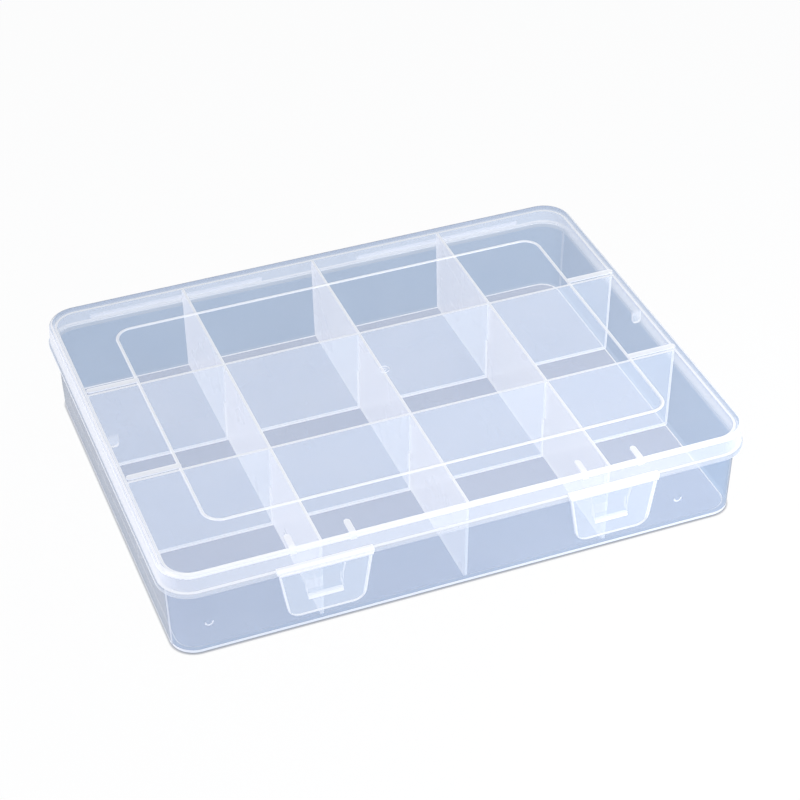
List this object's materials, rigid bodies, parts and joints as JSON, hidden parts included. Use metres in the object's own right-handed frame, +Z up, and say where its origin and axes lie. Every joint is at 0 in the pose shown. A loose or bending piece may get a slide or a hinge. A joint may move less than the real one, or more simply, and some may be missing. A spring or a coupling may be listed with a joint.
{
  "type": "compartment storage box",
  "caption": "Clear plastic storage box with fixed square compartments, a fold-back lid on thin rear hinge webs and snap latches at the front.",
  "frame": {"origin": "middle of the flat underside of the tray", "axes": "+X to the right along the length, -Y to the front where the latches are, +Z up"},
  "size_m": [0.27, 0.2119, 0.0477],
  "materials": {
    "tray_plastic": "clear polypropylene, slightly milky, glossy",
    "partition_plastic": "clear polypropylene, a little whiter, satin",
    "lid_plastic": "clear polypropylene, slightly milky, glossy",
    "latch_plastic": "clear polypropylene, slightly milky, glossy",
    "web_plastic": "thin clear polypropylene, whitened at the fold"
  },
  "bodies": {
    "tray": {"tray_shell": "tray_plastic", "column_wall_left": "partition_plastic", "column_wall_centre": "partition_plastic", "column_wall_right": "partition_plastic", "row_wall_front": "partition_plastic", "row_wall_rear": "partition_plastic", "rear_hinge_web_left": "web_plastic", "rear_hinge_web_right": "web_plastic"},
    "lid": {"lid_shell": "lid_plastic", "latch_hinge_web_left": "web_plastic", "latch_hinge_web_right": "web_plastic"},
    "latch_left": {"latch_left": "latch_plastic"},
    "latch_right": {"latch_right": "latch_plastic"}
  },
  "joints": [
    {"name": "lid_fold", "type": "hinge", "parent": "tray", "child": "lid", "pos_m": [0, 0.1043, 0.03675], "axis": [-1, 0, 0], "range_deg": [0, 180], "deforming": ["rear_hinge_web_left", "rear_hinge_web_right"]},
    {"name": "latch_left_fold", "type": "hinge", "parent": "lid", "child": "latch_left", "pos_m": [-0.066, -0.10605, 0.0367], "axis": [-1, 0, 0], "range_deg": [0, 150], "deforming": ["latch_hinge_web_left"]},
    {"name": "latch_right_fold", "type": "hinge", "parent": "lid", "child": "latch_right", "pos_m": [0.066, -0.10605, 0.0367], "axis": [-1, 0, 0], "range_deg": [0, 150], "deforming": ["latch_hinge_web_right"]}
  ]
}
